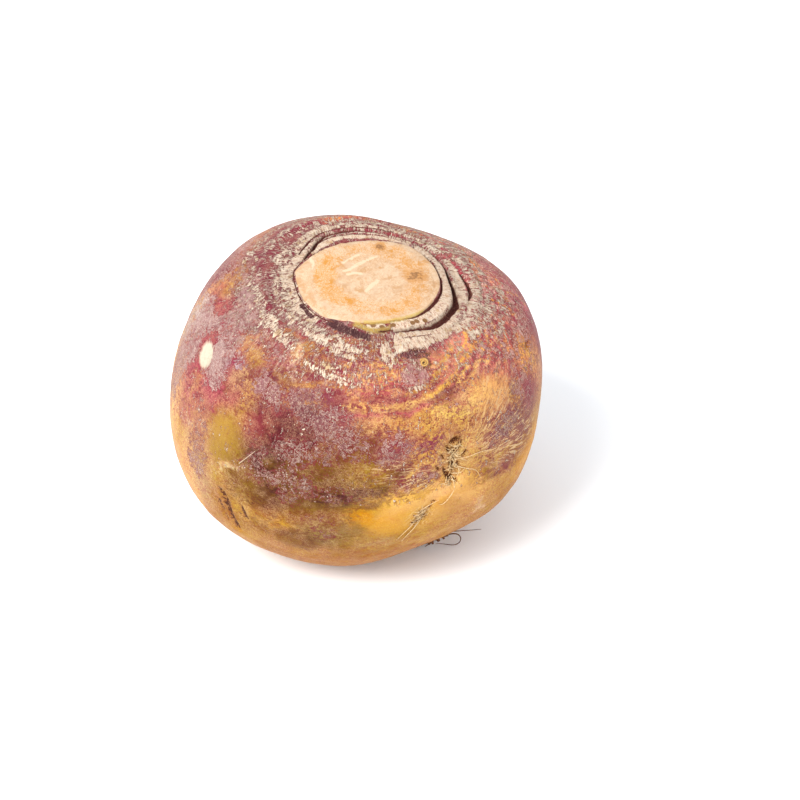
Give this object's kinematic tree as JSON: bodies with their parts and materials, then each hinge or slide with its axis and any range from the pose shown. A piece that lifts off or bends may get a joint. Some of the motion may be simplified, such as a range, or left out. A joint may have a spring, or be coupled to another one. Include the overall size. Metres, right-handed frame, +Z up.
{
  "type": "rutabaga",
  "caption": "Whole trimmed rutabaga root with a flat cut crown, a corky collar of old leaf bases and a tap root stub, resting on a small flat spot.",
  "frame": {"origin": "the middle of the flat spot that the root rests on", "axes": "+Z up from the surface that it rests on, -Y towards the side with the side-root scars, +X to that side's right"},
  "size_m": [0.1229, 0.1209, 0.1034],
  "materials": {
    "root_skin": "smooth purple and ochre root skin with corky leaf scars; leather stands in for vegetable skin"
  },
  "bodies": {
    "root": {"rutabaga": "root_skin"}
  },
  "joints": []
}
